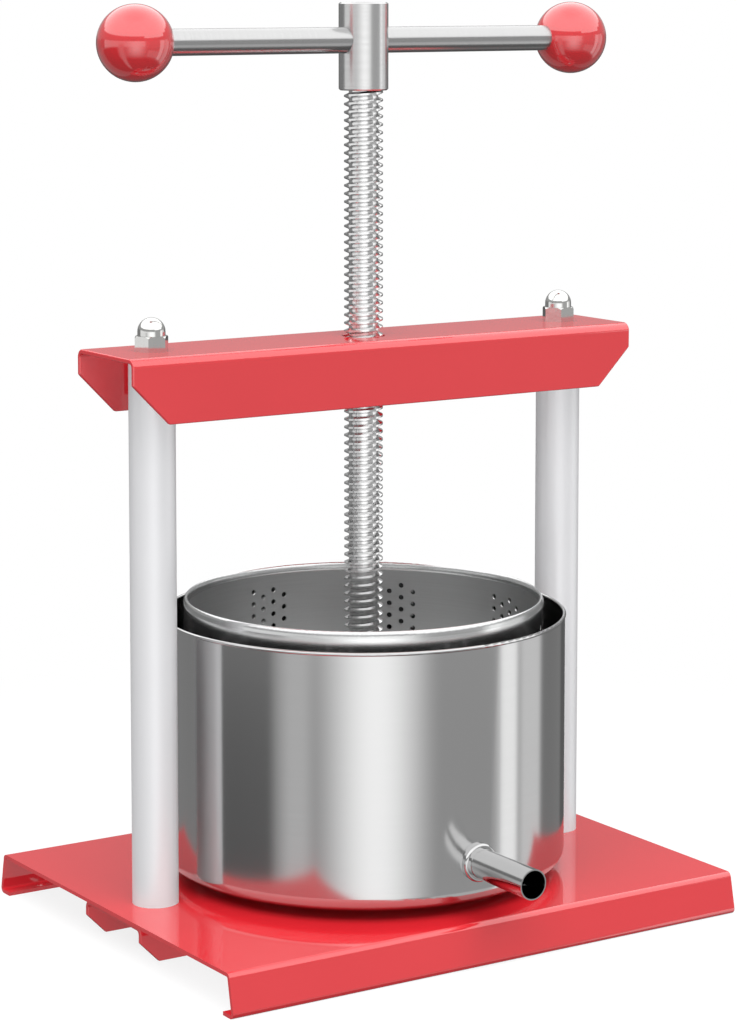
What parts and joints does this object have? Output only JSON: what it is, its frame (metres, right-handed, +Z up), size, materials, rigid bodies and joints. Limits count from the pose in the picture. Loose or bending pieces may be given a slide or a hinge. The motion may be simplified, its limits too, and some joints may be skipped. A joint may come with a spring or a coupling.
{
  "type": "manual fruit press",
  "caption": "Bench fruit press: a hand-turned screw in a red crossbeam drives a plate into a perforated steel basket, and juice leaves the pot by a spout.",
  "frame": {"origin": "on the floor below the screw's axis, at the centre of the bolt-down holes", "axes": "+X along the crossbeam to the right, +Y to the rear, away from the spout, +Z up along the screw"},
  "size_m": [0.3222, 0.2856, 0.4946],
  "materials": {
    "red_powder_coat": "glossy red powder coat on folded sheet steel",
    "column_finish": "pale satin coating on steel tube",
    "stainless_sheet": "satin polished stainless sheet",
    "bright_steel": "turned bright steel",
    "plated_fasteners": "bright nickel plating",
    "red_knob": "glossy moulded thermoset",
    "plug_plastic": "moulded nylon"
  },
  "bodies": {
    "frame": {"base_plate": "red_powder_coat", "lower_beam": "red_powder_coat", "left_column": "column_finish", "right_column": "column_finish", "column_end_plugs": "plug_plastic", "left_tie_rod": "plated_fasteners", "right_tie_rod": "plated_fasteners", "lower_washers": "plated_fasteners", "lower_nuts": "plated_fasteners", "crossbeam": "red_powder_coat", "cap_nuts": "plated_fasteners", "screw_nut": "red_powder_coat"},
    "press_plate": {"press_plate": "stainless_sheet", "plate_socket": "stainless_sheet", "socket_set_screws": "plated_fasteners"},
    "screw": {"press_screw": "bright_steel", "handle_hub": "bright_steel", "handle_bar": "bright_steel", "left_ball_knob": "red_knob", "right_ball_knob": "red_knob"},
    "pot": {"juice_pot": "stainless_sheet", "juice_spout": "stainless_sheet", "spout_collar": "stainless_sheet"},
    "basket": {"basket_wall": "stainless_sheet", "basket_rim": "stainless_sheet", "basket_floor": "stainless_sheet"}
  },
  "joints": [
    {"name": "press_feed", "type": "slide", "parent": "frame", "child": "press_plate", "axis": [0, 0, 1], "range_m": [-0.08313, 0.14]},
    {"name": "screw_turn", "type": "hinge", "parent": "press_plate", "child": "screw", "pos_m": [0, 0, 0.2], "axis": [0, 0, 1], "range_deg": [-6840, 11520]},
    {"name": "pot_turn", "type": "hinge", "parent": "frame", "child": "pot", "pos_m": [0, 0, 0.0227], "axis": [0, 0, 1], "range_deg": [-75, 75]},
    {"name": "basket_turn", "type": "hinge", "parent": "pot", "child": "basket", "pos_m": [0, 0, 0.0285], "axis": [0, 0, 1], "continuous": true}
  ],
  "couplings": [
    {"joint": "press_feed", "follows": "screw_turn", "m_per_rad": 0.0006963}
  ]
}
